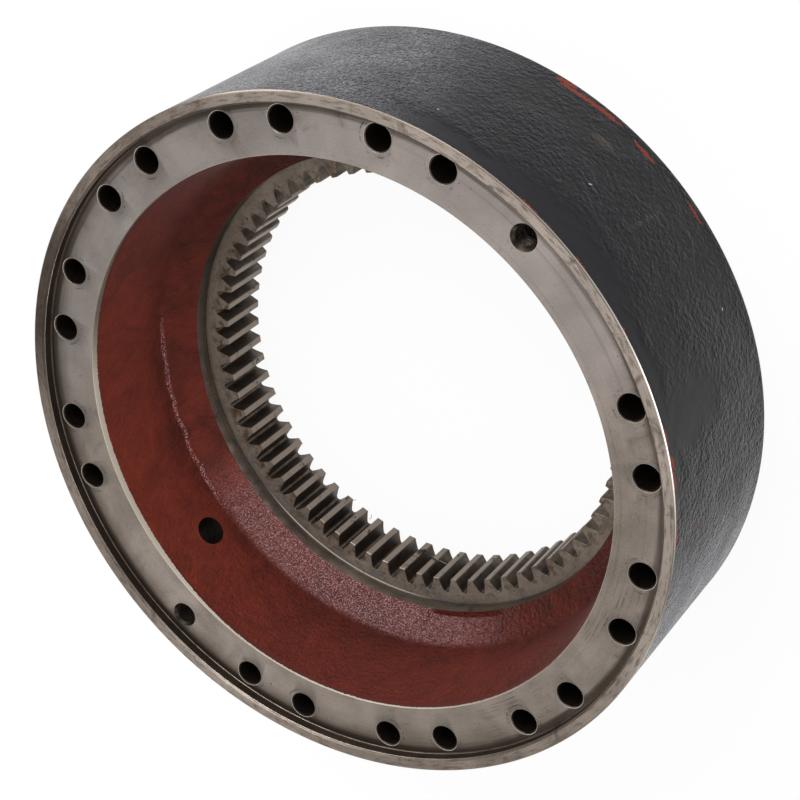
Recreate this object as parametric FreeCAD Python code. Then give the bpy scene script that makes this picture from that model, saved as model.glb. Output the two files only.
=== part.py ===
import FreeCAD, Part
import math
import os

# Internal ring gear: one casting, turned on its front and back, drilled and cut with internal teeth.
# Millimetres and degrees. The back face lies on Z = 0, the flange looks up, and the axis is Z.

# Outside
overall_height = 144.0
skin_draft = 0.6
rim_edge_chamfer = 1.0
back_edge_radius = 2.0

# Recess in the front, with the flange face as its floor and a lip round it
lip_width = 8.5
recess_depth = 8.0
recess_edge_chamfer = 1.4
recess_foot_radius = 1.0

# Cast bore between the flange and the teeth, with its mouth out over the register
mouth_overhang = 26.25
mouth_chamfer_width = 1.3
mouth_chamfer_depth = 3.8
bore_draft = 6.3
crease_radius = 9.0

# Shoulder that falls from the cast bore to the turned register, a wall's width behind the tooth roots
register_wall = 8.075
register_depth = 11.0
shoulder_slope = 41.0

# Shallow blank pocket cast into the shoulder
pocket_width = 12.25
pocket_depth = 2.0
pocket_turn = 271.5
pocket_span = 21.0

# Internal spur teeth
tooth_count = 68
module = 4.5
pressure_angle = 20.0
profile_shift = -0.1
addendum = 1.0
dedendum = 1.25
face_width = 40.0
tooth_turn = 2.29
root_round_depth = 1.1
front_tip_chamfer = 0.6
back_tip_chamfer = 1.5

# Through holes for bolts, in pairs, one pair to a sector, on a circle between the mouth and the lip
mouth_to_bolts = 22.5
bolts_to_lip = 12.0
bolt_hole_diameter = 17.5
bolt_hole_chamfer = 0.6
sector_count = 12
pair_spread = 12.0

# Opposite sectors have no pair but one tapped hole each, a little inside the bolt circle
tapped_inset = 2.0
tapped_core_diameter = 14.0
tapped_mouth_diameter = 17.2
tapped_drill_depth = 38.0
tapped_offset = 7.5
first_bare_sector = 1
bare_sector_step = 6
drill_point_angle = 118.0

# Port drilled through the wall between the bolt holes
port_diameter = 20.0
port_turn = 208.0
port_below_flange = 46.0
port_chamfer = 1.0

# Cutters reach this far past the face that they cut
cut_through = 1.0

flange_height = overall_height - recess_depth
pitch_radius = module * tooth_count / 2
tip_radius = pitch_radius - module * (addendum - profile_shift)
root_radius = pitch_radius + module * (dedendum + profile_shift)
tooth_pitch = 360.0 / tooth_count
register_top = face_width + register_depth
register_radius = root_radius + register_wall
mouth_radius = register_radius + mouth_overhang
bolt_circle_radius = mouth_radius + mouth_to_bolts
tapped_circle_radius = bolt_circle_radius - tapped_inset
recess_radius = bolt_circle_radius + bolts_to_lip
rim_radius = recess_radius + lip_width


def polar(radius, turn, height=0.0):
    """A point at a radius and a turn about the axis."""
    angle = math.radians(turn)
    return FreeCAD.Vector(radius * math.cos(angle), radius * math.sin(angle), height)


def section_point(radius, height):
    """A point of the half section, in the XZ plane."""
    return FreeCAD.Vector(radius, 0, height)


def rounded(before, corner, after, radius):
    """The two ends and the middle of an arc that rounds a corner of the section."""
    back = (before - corner).normalize()
    ahead = (after - corner).normalize()
    half = back.getAngle(ahead) / 2
    middle = (back + ahead).normalize()
    centre = corner + middle * (radius / math.sin(half))
    reach = radius / math.tan(half)
    return corner + back * reach, centre - middle * radius, corner + ahead * reach


def section_wire(corners):
    """A closed outline from (point, radius) corners, rounded where the radius isn't zero."""
    edges = []
    ends = []
    for index, (point, radius) in enumerate(corners):
        if radius == 0:
            ends.append((point, point))
            continue
        before = corners[index - 1][0]
        after = corners[(index + 1) % len(corners)][0]
        first, middle, last = rounded(before, point, after, radius)
        edges.append(Part.Arc(first, middle, last).toShape())
        ends.append((first, last))
    for index, (first, last) in enumerate(ends):
        edges.append(Part.LineSegment(ends[index - 1][1], first).toShape())
    return Part.Wire(Part.__sortEdges__(edges))


def skin_radius(height):
    """Radius of the cast skin, widest at the front rim."""
    return rim_radius - (overall_height - height) * math.tan(math.radians(skin_draft))


def bore_radius(height):
    """Radius of the cast bore, which narrows towards the teeth."""
    top = flange_height - mouth_chamfer_depth
    narrowing = (top - height) * math.tan(math.radians(bore_draft))
    return mouth_radius - mouth_chamfer_width - narrowing


def shoulder_height(radius):
    """Height of the shoulder's cone at a radius."""
    return register_top + (radius - register_radius) * math.tan(math.radians(shoulder_slope))


def crease_height():
    """Height at which the cone of the shoulder meets the cast bore."""
    slope = math.tan(math.radians(shoulder_slope))
    draft = math.tan(math.radians(bore_draft))
    reach = bore_radius(register_top) - register_radius
    return register_top + reach * slope / (1 - slope * draft)


def turned_casting():
    """The ring as cast and turned, before any tooth or hole is cut."""
    crease = crease_height()
    corners = [
        (section_point(tip_radius + back_tip_chamfer, 0), 0),
        (section_point(skin_radius(0), 0), back_edge_radius),
        (section_point(skin_radius(overall_height - rim_edge_chamfer), overall_height - rim_edge_chamfer), 0),
        (section_point(rim_radius - rim_edge_chamfer, overall_height), 0),
        (section_point(recess_radius + recess_edge_chamfer, overall_height), 0),
        (section_point(recess_radius, overall_height - recess_edge_chamfer), 0),
        (section_point(recess_radius, flange_height), recess_foot_radius),
        (section_point(mouth_radius, flange_height), 0),
        (section_point(bore_radius(flange_height - mouth_chamfer_depth), flange_height - mouth_chamfer_depth), 0),
        (section_point(bore_radius(crease), crease), crease_radius),
        (section_point(register_radius, register_top), 0),
        (section_point(register_radius, face_width), 0),
        (section_point(tip_radius + front_tip_chamfer, face_width), 0),
        (section_point(tip_radius, face_width - front_tip_chamfer), 0),
        (section_point(tip_radius, back_tip_chamfer), 0),
    ]
    face = Part.Face(section_wire(corners))
    return face.revolve(FreeCAD.Vector(0, 0, 0), FreeCAD.Vector(0, 0, 1), 360)


def involute(angle):
    """The involute function of an angle in radians."""
    return math.tan(angle) - angle


def space_half_turn(radius):
    """Half the turn that a tooth space covers at a radius."""
    pressure = math.radians(pressure_angle)
    base_radius = pitch_radius * math.cos(pressure)
    at_pitch = math.pi / (2 * tooth_count) + 2 * profile_shift * math.tan(pressure) / tooth_count
    at_radius = involute(math.acos(base_radius / radius))
    return math.degrees(at_pitch + involute(pressure) - at_radius)


def tooth_spaces():
    """A prism with one lobe for each tooth space, with involute flanks and round roots."""
    low_radius = tip_radius - front_tip_chamfer
    high_radius = root_radius - root_round_depth
    middle_radius = (low_radius + high_radius) / 2
    edges = []
    for number in range(tooth_count):
        centre = tooth_turn + (number + 0.5) * tooth_pitch
        flank_in = [polar(r, centre - space_half_turn(r)) for r in (low_radius, middle_radius, high_radius)]
        flank_out = [polar(r, centre + space_half_turn(r)) for r in (high_radius, middle_radius, low_radius)]
        next_start = polar(low_radius, centre + tooth_pitch - space_half_turn(low_radius))
        edges.append(Part.Arc(*flank_in).toShape())
        edges.append(Part.Arc(flank_in[2], polar(root_radius, centre), flank_out[0]).toShape())
        edges.append(Part.Arc(*flank_out).toShape())
        edges.append(Part.LineSegment(flank_out[2], next_start).toShape())
    outline = Part.Face(Part.Wire(edges))
    outline.translate(FreeCAD.Vector(0, 0, -cut_through))
    return outline.extrude(FreeCAD.Vector(0, 0, face_width + 2 * cut_through))


def pocket():
    """The cutter of the shallow pocket. Its floor is the shoulder's cone sunk by the pocket's depth,
    and it ends in a flat strip that is level with the register's top."""
    inner = register_radius - cut_through
    outer = register_radius + pocket_width
    slope = math.tan(math.radians(shoulder_slope))
    sunk = pocket_depth / math.cos(math.radians(shoulder_slope))
    strip_end = register_radius + sunk / slope
    section = [
        section_point(inner, register_top),
        section_point(strip_end, register_top),
        section_point(outer, shoulder_height(outer) - sunk),
        section_point(outer, shoulder_height(outer) + cut_through),
        section_point(inner, shoulder_height(outer) + cut_through),
    ]
    face = Part.Face(Part.makePolygon(section + section[:1]))
    up = FreeCAD.Vector(0, 0, 1)
    face.rotate(FreeCAD.Vector(0, 0, 0), up, pocket_turn - pocket_span / 2)
    return face.revolve(FreeCAD.Vector(0, 0, 0), up, pocket_span)


def bare_sectors():
    """Numbers of the sectors that have a tapped hole in place of a pair."""
    return range(first_bare_sector, sector_count, bare_sector_step)


def bolt_holes():
    """One cutter for each bolt hole: a bore through the flange with a chamfer at both ends."""
    radius = bolt_hole_diameter / 2
    mouth = radius + bolt_hole_chamfer + cut_through
    cone_height = bolt_hole_chamfer + cut_through
    sector = 360.0 / sector_count
    cutters = []
    for number in range(sector_count):
        if number in bare_sectors():
            continue
        for side in (-0.5, 0.5):
            turn = number * sector + side * pair_spread
            foot = polar(bolt_circle_radius, turn, -cut_through)
            top = polar(bolt_circle_radius, turn, flange_height - bolt_hole_chamfer)
            bore = Part.makeCylinder(radius, flange_height + 2 * cut_through, foot)
            back_cone = Part.makeCone(mouth, radius, cone_height, foot)
            front_cone = Part.makeCone(radius, mouth, cone_height, top)
            cutters.append(bore.fuse([back_cone, front_cone]))
    return cutters


def tapped_holes():
    """One cutter for each tapped hole: its core, its countersunk mouth and its drill point."""
    core = tapped_core_diameter / 2
    mouth = tapped_mouth_diameter / 2
    point_depth = core / math.tan(math.radians(drill_point_angle / 2))
    floor = flange_height - tapped_drill_depth
    section = [
        section_point(0, floor - point_depth),
        section_point(core, floor),
        section_point(core, flange_height - (mouth - core)),
        section_point(mouth + cut_through, flange_height + cut_through),
        section_point(0, flange_height + cut_through),
    ]
    face = Part.Face(Part.makePolygon(section + section[:1]))
    tool = face.revolve(FreeCAD.Vector(0, 0, 0), FreeCAD.Vector(0, 0, 1), 360)
    cutters = []
    for number in bare_sectors():
        turn = number * 360.0 / sector_count + tapped_offset
        cutter = tool.copy()
        cutter.translate(polar(tapped_circle_radius, turn))
        cutters.append(cutter)
    return cutters


def port():
    """The cutter of the port: a bore out through the wall, chamfered at the cast skin."""
    height = flange_height - port_below_flange
    inward = register_radius
    outward = skin_radius(height)
    radius = port_diameter / 2
    direction = polar(1, port_turn)
    bore = Part.makeCylinder(
        radius, outward - inward + cut_through, polar(inward, port_turn, height), direction)
    mouth_start = outward - port_chamfer
    cone = Part.makeCone(
        radius, radius + port_chamfer + cut_through, port_chamfer + cut_through,
        polar(mouth_start, port_turn, height), direction)
    return bore.fuse(cone)


def ring_gear():
    """The finished casting: one solid."""
    body = turned_casting().cut(tooth_spaces())
    return body.cut(bolt_holes() + tapped_holes() + [port(), pocket()])


gear = ring_gear()
gear.exportStep("parts/ring_gear.step")
box = gear.optimalBoundingBox()
print("solids", len(gear.Solids), "valid", gear.isValid(), "volume", round(gear.Volume))
print("box", [round(v, 2) for v in (box.XMin, box.YMin, box.ZMin, box.XMax, box.YMax, box.ZMax)])
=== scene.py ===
import bpy
import math
from functools import partial
from mathutils import Matrix, Vector


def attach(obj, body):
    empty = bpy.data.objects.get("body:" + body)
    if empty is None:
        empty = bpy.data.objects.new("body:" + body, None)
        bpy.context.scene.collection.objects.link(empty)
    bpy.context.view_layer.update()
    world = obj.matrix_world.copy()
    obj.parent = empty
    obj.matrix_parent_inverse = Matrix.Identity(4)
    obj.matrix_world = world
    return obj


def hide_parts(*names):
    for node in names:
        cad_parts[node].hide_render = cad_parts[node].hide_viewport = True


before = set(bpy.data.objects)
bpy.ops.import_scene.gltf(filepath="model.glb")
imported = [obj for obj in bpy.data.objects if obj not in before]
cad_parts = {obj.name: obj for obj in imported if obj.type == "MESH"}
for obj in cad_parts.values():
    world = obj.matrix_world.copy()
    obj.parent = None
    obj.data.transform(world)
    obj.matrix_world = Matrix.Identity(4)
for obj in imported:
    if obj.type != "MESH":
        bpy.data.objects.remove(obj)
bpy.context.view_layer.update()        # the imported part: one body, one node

print("stage: frame loaded, nodes", sorted(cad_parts))


# Helpers for modelling. Sizes are in millimetres until a point is made.

def mm(*point):
    return Vector(point) / 1000


def around(radius, turn, height=0.0):
    angle = math.radians(turn)
    return mm(radius * math.cos(angle), radius * math.sin(angle), height)


def setMode(mode):
    bpy.ops.object.mode_set(mode=mode)


def selectAll():
    bpy.ops.mesh.select_all(action='SELECT')


def only(piece):
    if bpy.context.object and bpy.context.object.mode != 'OBJECT':
        setMode('OBJECT')
    bpy.ops.object.select_all(action='DESELECT')
    piece.select_set(True)
    bpy.context.view_layer.objects.active = piece


def drawChain(name, points):
    # a plane is shrunk to one vertex, and that is extruded from point to point
    bpy.ops.object.select_all(action='DESELECT')
    bpy.ops.mesh.primitive_plane_add(size=0.01, location=(0, 0, 0))
    piece = bpy.context.object
    piece.name = name
    setMode('EDIT')
    bpy.ops.mesh.select_mode(type='VERT')
    selectAll()
    bpy.ops.mesh.merge(type='CENTER')
    bpy.ops.transform.translate(value=points[0])
    for here, there in zip(points, points[1:]):
        bpy.ops.mesh.extrude_vertices_move(TRANSFORM_OT_translate={"value": there - here})
    selectAll()
    return piece


def drawLoop(name, points):
    # the same chain closed to a ring of edges with no face
    piece = drawChain(name, points)
    bpy.ops.mesh.edge_face_add()
    bpy.ops.mesh.delete(type='ONLY_FACE')
    setMode('OBJECT')
    return piece


def tidyMesh(gap=2e-7):
    selectAll()
    bpy.ops.mesh.remove_doubles(threshold=gap)
    bpy.ops.mesh.normals_make_consistent(inside=False)
    setMode('OBJECT')


def turnChain(name, points, steps, centre=(0, 0, 0), axis=(0, 0, 1), closed=True):
    # lathes a chain of points round an axis; a closed chain loops back to its start
    piece = drawChain(name, points)
    if closed:
        bpy.ops.mesh.edge_face_add()
        bpy.ops.mesh.delete(type='ONLY_FACE')
        selectAll()
    bpy.ops.mesh.spin(steps=steps, angle=math.radians(360), center=centre, axis=axis)
    tidyMesh()
    return piece


def turnedCopy(piece, turn):
    twin = piece.copy()
    twin.data = piece.data.copy()
    bpy.context.collection.objects.link(twin)
    twin.data.transform(Matrix.Rotation(math.radians(turn), 4, 'Z'))
    return twin


def joinAll(pieces, name):
    only(pieces[0])
    for piece in pieces:
        piece.select_set(True)
    bpy.ops.object.join()
    joined = bpy.context.object
    joined.name = name
    return joined


def combine(piece, tool, operation):
    only(piece)
    bpy.ops.object.modifier_add(type='BOOLEAN')
    modifier = piece.modifiers[-1]
    modifier.operation = operation
    modifier.solver = 'EXACT'
    modifier.object = tool
    bpy.ops.object.modifier_apply(modifier=modifier.name)
    bpy.data.objects.remove(tool, do_unlink=True)


def meshVolume(piece):
    # signed volume of a closed mesh, summed over its faces cut into triangles
    piece.data.calc_loop_triangles()
    points = [vertex.co for vertex in piece.data.vertices]
    corners = [[points[k] for k in triangle.vertices] for triangle in piece.data.loop_triangles]
    return sum(a.dot(b.cross(c)) for a, b, c in corners) / 6


def arc(centre, radius, start, end, count):
    # points (radius, height) of an arc in the half section, without its two ends
    turns = [start + (end - start) * k / (count + 1) for k in range(1, count + 1)]
    return [(centre[0] + radius * math.cos(math.radians(t)), centre[1] + radius * math.sin(math.radians(t)))
            for t in turns]


def steps(start, end, pitch):
    # points between two ends of a straight run, without the ends
    count = max(1, round(math.dist(start, end) / pitch))
    return [(start[0] + (end[0] - start[0]) * k / count, start[1] + (end[1] - start[1]) * k / count)
            for k in range(1, count)]


def roundedCorner(corner, before, after, radius, count=3):
    # a corner of the half section, replaced by points on a small arc that touches both its sides
    corner, before, after = Vector(corner), Vector(before), Vector(after)
    inward, onward = (before - corner).normalized(), (after - corner).normalized()
    half = inward.angle(onward) / 2
    reach = radius / math.tan(half)
    centre = corner + (inward + onward).normalized() * radius / math.sin(half)
    first = corner + inward * reach - centre
    last = corner + onward * reach - centre
    curve = [centre + first.slerp(last, k / (count + 1)).normalized() * radius for k in range(count + 2)]
    return [tuple(point) for point in curve]


# The casting: section sizes in mm, as the solids have them

casting = {
    "height": 143.9995, "rimRadius": 235.41, "skinDraft": 0.6, "rimChamfer": 1.0, "backRound": 2.0,
    "recessRadius": 227.0, "recessDepth": 8.0, "lipChamfer": 1.4, "footRound": 1.0,
    "mouthRadius": 192.5, "mouthChamfer": (1.3, 3.8), "mouthRound": 0.45, "boreDraft": 6.3,
    "creaseRound": 9.0, "registerRadius": 166.25, "registerTop": 51.0, "shoulderSlope": 41.0,
    "lipRound": 0.35, "registerGroove": (0.9, 0.5), "tipRadius": 148.05, "faceWidth": 40.0,
    "frontTipChamfer": 0.6, "backTipChamfer": 1.5,
    "segments": 544, "rowPitch": 2.7, "toothTurn": 2.29,
}


def skinRadius(height):
    c = casting
    return c["rimRadius"] - (c["height"] - height) * math.tan(math.radians(c["skinDraft"]))


def boreRadius(height):
    c = casting
    top = c["height"] - c["recessDepth"] - c["mouthChamfer"][1]
    narrowing = (top - height) * math.tan(math.radians(c["boreDraft"]))
    return c["mouthRadius"] - c["mouthChamfer"][0] - narrowing


def creaseHeight():
    c = casting
    slope = math.tan(math.radians(c["shoulderSlope"]))
    draft = math.tan(math.radians(c["boreDraft"]))
    reach = boreRadius(c["registerTop"]) - c["registerRadius"]
    return c["registerTop"] + reach * slope / (1 - slope * draft)


def sectionPoints():
    c = casting
    top, flange = c["height"], c["height"] - c["recessDepth"]
    crease = creaseHeight()
    slopeTurn = c["shoulderSlope"]
    corner = (boreRadius(crease), crease)
    up = (math.sin(math.radians(c["boreDraft"])), math.cos(math.radians(c["boreDraft"])))
    down = (-math.cos(math.radians(slopeTurn)), -math.sin(math.radians(slopeTurn)))
    between = math.acos(up[0] * down[0] + up[1] * down[1])
    reach = c["creaseRound"] / math.tan(between / 2)
    wallFoot = (corner[0] + up[0] * reach, corner[1] + up[1] * reach)
    slopeHead = (corner[0] + down[0] * reach, corner[1] + down[1] * reach)
    centre = (wallFoot[0] - c["creaseRound"] * math.cos(math.radians(c["boreDraft"])),
              wallFoot[1] + c["creaseRound"] * math.sin(math.radians(c["boreDraft"])))
    creaseArc = arc(centre, c["creaseRound"], -c["boreDraft"], -(90 - slopeTurn), 5)
    backCorner = (skinRadius(0), 0.0)
    skinFoot = (skinRadius(c["backRound"]), c["backRound"])
    skinHead = (skinRadius(top - c["rimChamfer"]), top - c["rimChamfer"])
    backStart = (backCorner[0] - c["backRound"], 0.0)
    backArc = arc((backStart[0], c["backRound"]), c["backRound"], -90, 0, 3)
    foot = (c["recessRadius"] - c["footRound"], flange + c["footRound"])
    footArc = arc(foot, c["footRound"], 0, -90, 3)
    mouthFoot = (boreRadius(flange - c["mouthChamfer"][1]), flange - c["mouthChamfer"][1])
    registerEdge = (c["registerRadius"], c["registerTop"])
    points = [(c["tipRadius"] + c["backTipChamfer"], 0.0), backStart, *backArc, skinFoot]
    points += [*steps(skinFoot, skinHead, c["rowPitch"]), skinHead]
    points += [(c["rimRadius"] - c["rimChamfer"], top), (c["recessRadius"] + c["lipChamfer"], top)]
    chamferHead = (c["recessRadius"] + c["lipChamfer"], top)
    lipCorner = (c["recessRadius"], top - c["lipChamfer"])
    points += [*roundedCorner(lipCorner, chamferHead, (c["recessRadius"], foot[1]), c["lipRound"], 2)]
    points += [(c["recessRadius"], foot[1]), *footArc, (foot[0], flange)]
    points += roundedCorner((c["mouthRadius"], flange), (foot[0], flange), mouthFoot, c["mouthRound"])
    points += [mouthFoot, *steps(mouthFoot, wallFoot, c["rowPitch"]), wallFoot]
    points += [*creaseArc, slopeHead, *steps(slopeHead, registerEdge, c["rowPitch"]), registerEdge]
    grooveHeight, grooveDepth = c["registerGroove"]
    points += [(c["registerRadius"], c["faceWidth"] + grooveHeight)]
    points += [(c["registerRadius"] + grooveDepth, c["faceWidth"] + grooveHeight - 0.15)]
    points += [(c["registerRadius"] + grooveDepth, c["faceWidth"])]
    points += [(c["tipRadius"] + c["frontTipChamfer"], c["faceWidth"])]
    points += [(c["tipRadius"], c["faceWidth"] - c["frontTipChamfer"])]
    points += [(c["tipRadius"], c["backTipChamfer"])]
    return points


solidVolume = 9.84e-3      # cubic metres, from the section less the teeth and holes
section = sectionPoints()
ring = turnChain("ringGear", [around(r, casting["toothTurn"], z) for r, z in section], casting["segments"])
print("stage: casting turned,", len(ring.data.polygons), "faces")


# Tooth spaces: involute flanks and round roots

teeth = {
    "count": 68, "module": 4.5, "pressureAngle": 20.0, "shift": -0.1, "dedendum": 1.25, "rootRound": 1.1,
    "cutFrom": 146.6, "flankSteps": 7, "rootSteps": 5, "reach": 1.0, "edgeBreak": 0.3,
}


def involute(angle):
    return math.tan(angle) - angle


def spaceHalfTurn(radius):
    t = teeth
    pressure = math.radians(t["pressureAngle"])
    pitchRadius = t["module"] * t["count"] / 2
    atPitch = math.pi / (2 * t["count"]) + 2 * t["shift"] * math.tan(pressure) / t["count"]
    atRadius = involute(math.acos(min(1.0, pitchRadius * math.cos(pressure) / radius)))
    return math.degrees(atPitch + involute(pressure) - atRadius)


def circleThrough(a, b, c):
    ax, ay, bx, by, cx, cy = *a, *b, *c
    squareA, squareB, squareC = ax * ax + ay * ay, bx * bx + by * by, cx * cx + cy * cy
    d = 2 * (ax * (by - cy) + bx * (cy - ay) + cx * (ay - by))
    ux = (squareA * (by - cy) + squareB * (cy - ay) + squareC * (ay - by)) / d
    uy = (squareA * (cx - bx) + squareB * (ax - cx) + squareC * (bx - ax)) / d
    return (ux, uy), math.dist((ux, uy), a)


def toothSpaceOutline():
    # drawn about a space whose middle lies on +X, then turned to its place
    t = teeth
    rootRadius = t["module"] * t["count"] / 2 + t["module"] * (t["dedendum"] + t["shift"])
    flankEnd = rootRadius - t["rootRound"]
    edge = casting["tipRadius"] + t["edgeBreak"]
    radii = [edge + (flankEnd - edge) * k / t["flankSteps"] for k in range(t["flankSteps"] + 1)]
    brokenTurn = spaceHalfTurn(edge) + math.degrees((edge - t["cutFrom"]) / edge)

    def flat(radius, turn):
        return (radius * math.cos(math.radians(turn)), radius * math.sin(math.radians(turn)))

    low = [flat(t["cutFrom"], -brokenTurn)] + [flat(r, -spaceHalfTurn(r)) for r in radii]
    high = [flat(r, spaceHalfTurn(r)) for r in reversed(radii)] + [flat(t["cutFrom"], brokenTurn)]
    centre, radius = circleThrough(low[-1], (rootRadius, 0), high[0])
    swing = math.degrees(math.atan2(high[0][1] - centre[1], high[0][0] - centre[0]))
    root = arc(centre, radius, -swing, swing, t["rootSteps"])
    return low + root + high


def widerOutline(outline, distance):
    # each point moved out along the mean normal of its two sides
    moved = []
    for before, here, after in zip(outline[-1:] + outline[:-1], outline, outline[1:] + outline[:1]):
        sideA = Vector((here[1] - before[1], before[0] - here[0])).normalized()
        sideB = Vector((after[1] - here[1], here[0] - after[0])).normalized()
        away = (sideA + sideB).normalized()
        reach = distance / away.dot(sideA)
        moved.append((here[0] + away.x * reach, here[1] + away.y * reach))
    return moved


def makeToothSpaces():
    # the cutter widens a little past both faces, which leaves the deburred edge round each space
    t, c = teeth, casting
    outline = toothSpaceOutline()
    wide = widerOutline(outline, t["edgeBreak"] + t["reach"])
    layers = [(wide, -t["reach"]), (outline, t["edgeBreak"]), (outline, c["faceWidth"] - t["edgeBreak"]),
              (wide, c["faceWidth"] + t["reach"])]
    loops = [drawLoop("toothSpace", [mm(x, y, height) for x, y in points]) for points, height in layers]
    space = joinAll(loops, "toothSpace")
    setMode('EDIT')
    selectAll()
    bpy.ops.mesh.bridge_edge_loops()
    bpy.ops.mesh.select_all(action='DESELECT')
    bpy.ops.mesh.select_non_manifold()
    bpy.ops.mesh.fill_holes(sides=0)
    tidyMesh()
    pitch = 360 / t["count"]
    copies = [turnedCopy(space, c["toothTurn"] + (k + 0.5) * pitch) for k in range(t["count"])]
    bpy.data.objects.remove(space, do_unlink=True)
    return joinAll(copies, "toothSpaces")


toothSpaces = makeToothSpaces()
print("stage: tooth spaces ready")


# Holes: bolt holes in pairs, two tapped holes, the port in the wall and the shallow pocket

holes = {
    "boltCircle": 215.0, "boltRadius": 8.75, "boltChamfer": 0.7, "wornEdge": 0.24, "pairHalf": 6.0,
    "sector": 30.0, "bareSectors": (1, 7), "sides": 64, "reach": 1.0,
}

tapped = {
    "circle": 213.0, "coreRadius": 7.0, "mouthRadius": 8.9, "drillDepth": 38.0, "drillPoint": 118.0,
    "turns": (37.5, 217.5), "pitch": 2.0, "crestRadius": 8.0, "crestFlat": 0.25, "buried": 0.4,
    "threadDepth": 32.0, "sides": 40,
}

port = {"radius": 10.0, "turn": 208.0, "height": 90.0, "chamfer": 1.0, "sides": 56}

pocket = {"outerRadius": 178.5, "depth": 2.0, "turn": 271.5, "span": 21.0, "softEdge": 2.6, "cuts": 3}


def makeBoltHoles():
    h = holes
    flange = casting["height"] - casting["recessDepth"]
    r, k, over = h["boltRadius"], h["boltChamfer"], h["reach"]
    w = h["wornEdge"]
    profile = [(0, -over), (r + k + over, -over), (r, k), (r, flange - k), (r + k - w / 2, flange - w / 2)]
    profile += [(r + k + w, flange), (r + k + 3 * w, flange + w), (r + k + 3 * w, flange + over),
                (0, flange + over)]
    points = [mm(h["boltCircle"] + x, 0, z) for x, z in profile]
    hole = turnChain("boltHole", points, h["sides"], centre=mm(h["boltCircle"], 0, 0), closed=False)
    turns = [n * h["sector"] + side * h["pairHalf"] for n in range(12) if n not in h["bareSectors"]
             for side in (-1, 1)]
    copies = [turnedCopy(hole, turn) for turn in turns]
    bpy.data.objects.remove(hole, do_unlink=True)
    return copies


def makeTappedHoles():
    p = tapped
    flange = casting["height"] - casting["recessDepth"]
    core, mouth, over = p["coreRadius"], p["mouthRadius"], holes["reach"]
    floor = flange - p["drillDepth"]
    tip = floor - core / math.tan(math.radians(p["drillPoint"] / 2))
    profile = [(0, tip), (core, floor), (core, flange - (mouth - core)), (mouth + over, flange + over),
               (0, flange + over)]
    drill = turnChain("tappedDrill", [mm(x, 0, z) for x, z in profile], p["sides"], closed=False)
    # the thread is a ridge of a cut triangle, swept down a helix and merged with the drilled core
    rise = math.tan(math.radians(30))
    crest, base = p["crestRadius"], core - p["buried"]
    halfBase = p["crestFlat"] / 2 + (crest - base) * rise
    start = flange + 0.5 - p["threadDepth"]
    profile = [(base, start - halfBase), (crest, start - p["crestFlat"] / 2),
               (crest, start + p["crestFlat"] / 2), (base, start + halfBase)]
    ridge = drawLoop("threadRidge", [mm(x, 0, z) for x, z in profile])
    bpy.ops.object.modifier_add(type='SCREW')
    screw = ridge.modifiers[-1]
    screw.steps = screw.render_steps = p["sides"]
    screw.screw_offset = p["pitch"] / 1000
    screw.iterations = round(p["threadDepth"] / p["pitch"])
    screw.use_smooth_shade = False
    bpy.ops.object.modifier_apply(modifier=screw.name)
    setMode('EDIT')
    selectAll()
    bpy.ops.mesh.fill_holes(sides=0)
    tidyMesh()
    combine(drill, ridge, 'UNION')
    setMode('EDIT')
    tidyMesh(5e-6)
    copies = []
    for turn in p["turns"]:
        twin = turnedCopy(drill, 0)
        twin.data.transform(Matrix.Translation(around(p["circle"], turn)))
        copies.append(twin)
    bpy.data.objects.remove(drill, do_unlink=True)
    return copies


def makePort():
    p = port
    outward = around(1000, p["turn"])
    mouth = skinRadius(p["height"]) - p["chamfer"]
    start = casting["registerRadius"]
    over = holes["reach"]
    wider = p["chamfer"] + over
    profile = [(start, 0), (start, p["radius"]), (mouth, p["radius"]), (mouth + wider, p["radius"] + wider),
               (mouth + wider, 0)]
    points = [around(along, p["turn"], p["height"] + up) for along, up in profile]
    return turnChain("portCut", points, p["sides"], centre=mm(0, 0, p["height"]), axis=outward,
                     closed=False)


cutters = makeBoltHoles() + makeTappedHoles() + [makePort(), toothSpaces]
print("stage: cutters ready")


def cutRing(tool, solid, tries=4):
    # the Boolean is judged by its volume, and made again from a spare copy if it went wrong
    global ring
    for k in range(tries):
        spare, spareTool = turnedCopy(ring, 0), turnedCopy(tool, 0)
        combine(ring, tool, 'DIFFERENCE')
        setMode('EDIT')
        selectAll()
        bpy.ops.mesh.remove_doubles(threshold=1e-6)
        setMode('OBJECT')
        if abs(meshVolume(ring) / solid - 1) < 0.02:
            for extra in (spare, spareTool):
                bpy.data.objects.remove(extra, do_unlink=True)
            return
        bpy.data.objects.remove(ring, do_unlink=True)
        ring, tool = spare, spareTool
        ring.name = "ringGear"
    raise RuntimeError("the teeth and holes could not be cut cleanly")


cutRing(joinAll(cutters, "cutters"), solidVolume)
print("stage: teeth and holes cut,", len(ring.data.polygons), "faces,", round(meshVolume(ring) * 1e6),
      "cubic cm")


# The shallow pocket in the shoulder, cast with the part, so its edges are soft

def besidePocket(place, margin):
    # how far inside the pocket's outline a point of the shoulder lies, in mm; negative outside it
    p, c = pocket, casting
    x, y, z = place * 1000
    radius = math.hypot(x, y)
    onCone = c["registerTop"] + (radius - c["registerRadius"]) * math.tan(math.radians(c["shoulderSlope"]))
    if abs(z - onCone) > 0.1 or radius > p["outerRadius"] + margin:
        return -margin
    aside = abs((math.degrees(math.atan2(y, x)) - p["turn"] + 180) % 360 - 180)
    return min(p["outerRadius"] - radius, math.radians(p["span"] / 2 - aside) * radius)


def softStep(value):
    value = max(0.0, min(1.0, value))
    return value * value * (3 - 2 * value)


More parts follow.
